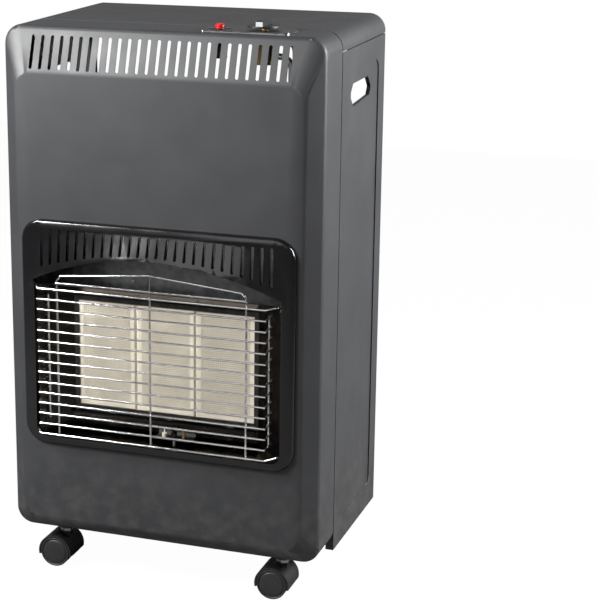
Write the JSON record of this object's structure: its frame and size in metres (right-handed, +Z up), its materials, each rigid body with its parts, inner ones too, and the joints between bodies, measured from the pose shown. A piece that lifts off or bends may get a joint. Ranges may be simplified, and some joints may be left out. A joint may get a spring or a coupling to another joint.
{
  "type": "gas cabinet heater",
  "caption": "Portable gas heater: black-hooded ceramic plaque burner with wire guard in a charcoal steel cabinet whose sides, lid and castored base fold",
  "frame": {"origin": "centre of the bounding box's footprint, on the floor the castors stand on", "axes": "+Z is up; -Y is the burner side that faces the room; +X is to the right of a person facing the burner"},
  "size_m": [0.42, 0.374, 0.7419],
  "materials": {
    "charcoal_coat": "satin charcoal powder coat",
    "black_gloss": "glossy black enamel",
    "dark_sheet": "heat-darkened black sheet",
    "chrome_wire": "bright chrome plating",
    "bright_sheet": "polished, heat-tinted",
    "zinc_steel": "bright zinc plating",
    "ceramic": null,
    "brass": "machined",
    "aluminium": "drawn tube",
    "knob_plastic": "satin moulded",
    "red_plastic": "glossy moulded",
    "black_plastic": "moulded",
    "tyre_plastic": "matt moulded"
  },
  "bodies": {
    "cabinet": {"front_shell": "charcoal_coat", "burner_bezel": "black_gloss", "wire_guard": "chrome_wire", "plaque_left": "ceramic", "plaque_centre": "ceramic", "plaque_right": "ceramic", "burner_box": "dark_sheet", "plaque_frame": "dark_sheet", "top_reflector": "bright_sheet", "bottom_reflector": "bright_sheet", "left_reflector": "bright_sheet", "right_reflector": "bright_sheet", "burner_brackets": "dark_sheet", "heat_shield": "zinc_steel", "flame_bar": "bright_sheet", "injector_manifold": "brass", "venturi_tubes": "zinc_steel", "pilot_bracket": "dark_sheet", "pilot_burner": "bright_sheet", "spark_electrode": "ceramic", "thermocouple": "brass", "control_plate": "chrome_wire", "igniter_body": "black_plastic", "gas_tap_body": "brass", "gas_inlet": "brass", "supply_tube": "aluminium", "pilot_tube": "aluminium", "left_hinge_brackets": "charcoal_coat", "left_hinge_pins": "zinc_steel", "right_hinge_brackets": "charcoal_coat", "right_hinge_pins": "zinc_steel", "lid_hinge_brackets": "charcoal_coat", "lid_hinge_pins": "zinc_steel", "tray_hinge_leaves": "charcoal_coat", "tray_hinge_pins": "zinc_steel", "front_castor_sockets": "zinc_steel", "front_castor_stems": "zinc_steel"},
    "tap_collar": {"spindle_collar": "brass"},
    "knob": {"tap_spindle": "brass", "control_knob": "knob_plastic"},
    "button": {"igniter_button": "red_plastic"},
    "lid": {"top_lid": "charcoal_coat"},
    "left_panel": {"left_side_panel": "charcoal_coat"},
    "right_panel": {"right_side_panel": "charcoal_coat"},
    "tray": {"base_tray": "charcoal_coat", "hose_hooks": "zinc_steel", "rear_castor_sockets": "zinc_steel", "rear_castor_stems": "zinc_steel"},
    "swivel_front_left": {"castor_hood_front_left": "black_plastic", "castor_axle_front_left": "zinc_steel"},
    "wheels_front_left": {"castor_wheels_front_left": "tyre_plastic"},
    "swivel_front_right": {"castor_hood_front_right": "black_plastic", "castor_axle_front_right": "zinc_steel"},
    "wheels_front_right": {"castor_wheels_front_right": "tyre_plastic"},
    "swivel_rear_left": {"castor_hood_rear_left": "black_plastic", "castor_axle_rear_left": "zinc_steel"},
    "wheels_rear_left": {"castor_wheels_rear_left": "tyre_plastic"},
    "swivel_rear_right": {"castor_hood_rear_right": "black_plastic", "castor_axle_rear_right": "zinc_steel"},
    "wheels_rear_right": {"castor_wheels_rear_right": "tyre_plastic"}
  },
  "joints": [
    {"name": "knob_push", "type": "slide", "parent": "cabinet", "child": "tap_collar", "axis": [0, 0, -1], "range_m": [0, 0.003], "stiffness_N_per_m": 2500, "springref_m": -0.002},
    {"name": "knob_turn", "type": "hinge", "parent": "tap_collar", "child": "knob", "pos_m": [0.12, -0.107, 0.72], "axis": [0, 0, 1], "range_deg": [0, 180]},
    {"name": "igniter_press", "type": "slide", "parent": "cabinet", "child": "button", "axis": [0, 0, -1], "range_m": [0, 0.0045], "stiffness_N_per_m": 3500, "springref_m": -0.001},
    {"name": "lid_lift", "type": "hinge", "parent": "cabinet", "child": "lid", "pos_m": [0, -0.0721, 0.692], "axis": [1, 0, 0], "range_deg": [0, 2.5]},
    {"name": "left_panel_fold", "type": "hinge", "parent": "cabinet", "child": "left_panel", "pos_m": [-0.2035, -0.0683, 0.378], "axis": [0, 0, -1], "range_deg": [0, 90]},
    {"name": "right_panel_fold", "type": "hinge", "parent": "cabinet", "child": "right_panel", "pos_m": [0.2035, -0.0683, 0.378], "axis": [0, 0, 1], "range_deg": [0, 90]},
    {"name": "tray_fold", "type": "hinge", "parent": "cabinet", "child": "tray", "pos_m": [0, -0.059, 0.052], "axis": [1, 0, 0], "range_deg": [0, 82]},
    {"name": "swivel_front_left", "type": "hinge", "parent": "cabinet", "child": "swivel_front_left", "pos_m": [-0.153, -0.108, 0.045], "axis": [0, 0, 1], "continuous": true},
    {"name": "roll_front_left", "type": "hinge", "parent": "swivel_front_left", "child": "wheels_front_left", "pos_m": [-0.1615, -0.108, 0.02], "axis": [0, 1, 0], "continuous": true},
    {"name": "swivel_front_right", "type": "hinge", "parent": "cabinet", "child": "swivel_front_right", "pos_m": [0.153, -0.108, 0.045], "axis": [0, 0, 1], "continuous": true},
    {"name": "roll_front_right", "type": "hinge", "parent": "swivel_front_right", "child": "wheels_front_right", "pos_m": [0.1445, -0.108, 0.02], "axis": [0, 1, 0], "continuous": true},
    {"name": "swivel_rear_left", "type": "hinge", "parent": "tray", "child": "swivel_rear_left", "pos_m": [-0.15, 0.14, 0.045], "axis": [0, 0, 1], "continuous": true},
    {"name": "roll_rear_left", "type": "hinge", "parent": "swivel_rear_left", "child": "wheels_rear_left", "pos_m": [-0.1585, 0.14, 0.02], "axis": [0, 1, 0], "continuous": true},
    {"name": "swivel_rear_right", "type": "hinge", "parent": "tray", "child": "swivel_rear_right", "pos_m": [0.15, 0.14, 0.045], "axis": [0, 0, 1], "continuous": true},
    {"name": "roll_rear_right", "type": "hinge", "parent": "swivel_rear_right", "child": "wheels_rear_right", "pos_m": [0.1415, 0.14, 0.02], "axis": [0, 1, 0], "continuous": true}
  ]
}
